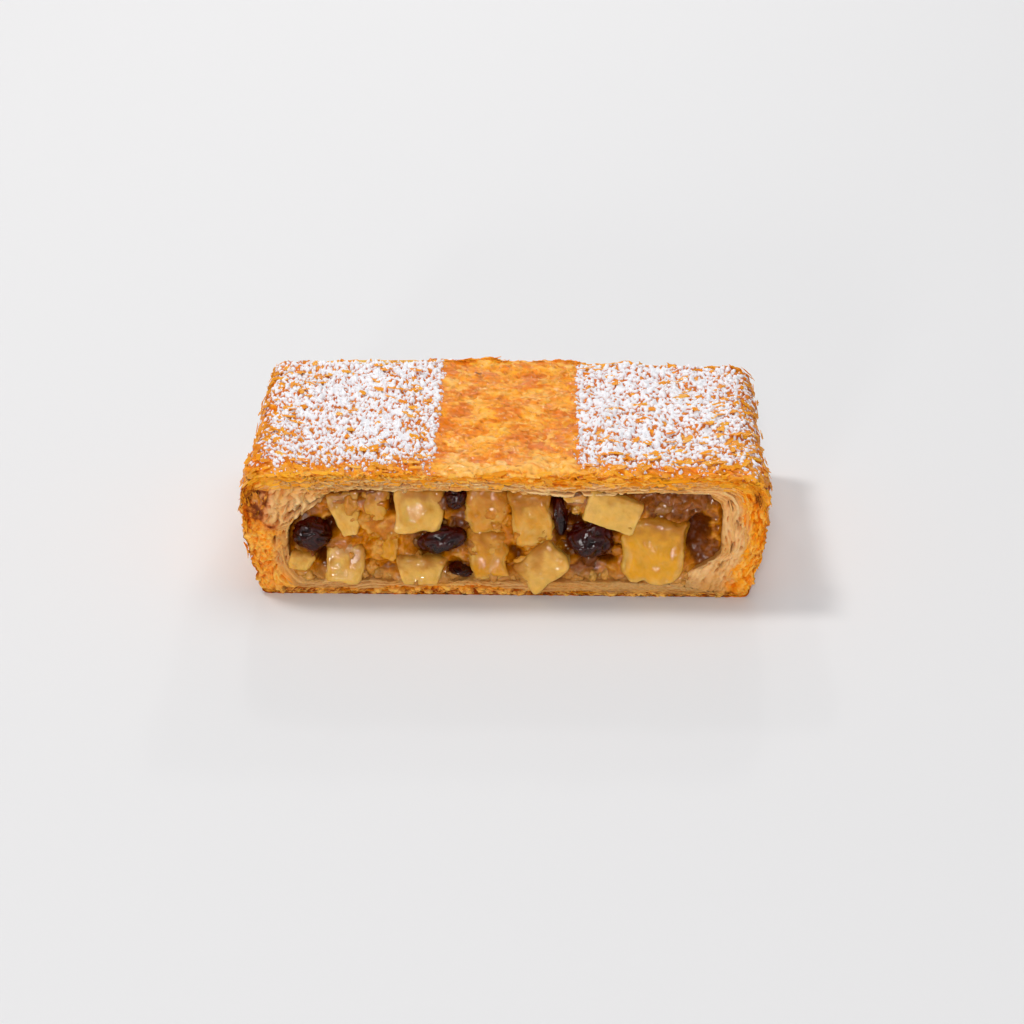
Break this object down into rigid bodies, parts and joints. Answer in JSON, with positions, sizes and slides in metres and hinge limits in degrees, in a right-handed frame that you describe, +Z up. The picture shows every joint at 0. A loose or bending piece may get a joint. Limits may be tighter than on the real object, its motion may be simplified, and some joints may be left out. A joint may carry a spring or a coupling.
{
  "type": "strudel slice",
  "caption": "Wide cut slice of flaky baked strudel: a hollow puff pastry sleeve filled with stewed fruit, open at both cut faces, with fruit cubes and raisins showing.",
  "frame": {"origin": "middle of the flat base, at the centre of the bounding box's footprint", "axes": "+X across the log from side wall to side wall, +Y along the log from the front cut face to the back cut face, +Z up from the base to the sugared crust"},
  "size_m": [0.1361, 0.0809, 0.0342],
  "materials": {
    "baked_pastry": "flaky, browned, satin",
    "stewed_filling": "moist",
    "cooked_fruit": "moist, slightly translucent",
    "raisin_skin": "moist, wrinkled"
  },
  "bodies": {
    "root": {"pastry": "baked_pastry", "filling": "stewed_filling", "apple_front_1": "cooked_fruit", "apple_front_2": "cooked_fruit", "apple_front_3": "cooked_fruit", "apple_front_4": "cooked_fruit", "apple_front_5": "cooked_fruit", "apple_front_6": "cooked_fruit", "apple_front_7": "cooked_fruit", "apple_front_8": "cooked_fruit", "apple_front_9": "cooked_fruit", "apple_front_10": "cooked_fruit", "apple_front_11": "cooked_fruit", "apple_front_12": "cooked_fruit", "apple_front_13": "cooked_fruit", "apple_front_14": "cooked_fruit", "apple_back_1": "cooked_fruit", "apple_back_2": "cooked_fruit", "apple_back_3": "cooked_fruit", "apple_back_4": "cooked_fruit", "apple_back_5": "cooked_fruit", "apple_back_6": "cooked_fruit", "apple_back_7": "cooked_fruit", "apple_back_8": "cooked_fruit", "apple_back_9": "cooked_fruit", "raisin_front_1": "raisin_skin", "raisin_front_2": "raisin_skin", "raisin_front_3": "raisin_skin", "raisin_front_4": "raisin_skin", "raisin_front_5": "raisin_skin", "raisin_front_6": "raisin_skin", "raisin_back_1": "raisin_skin", "raisin_back_2": "raisin_skin", "raisin_back_3": "raisin_skin", "raisin_back_4": "raisin_skin", "raisin_back_5": "raisin_skin"}
  },
  "joints": []
}
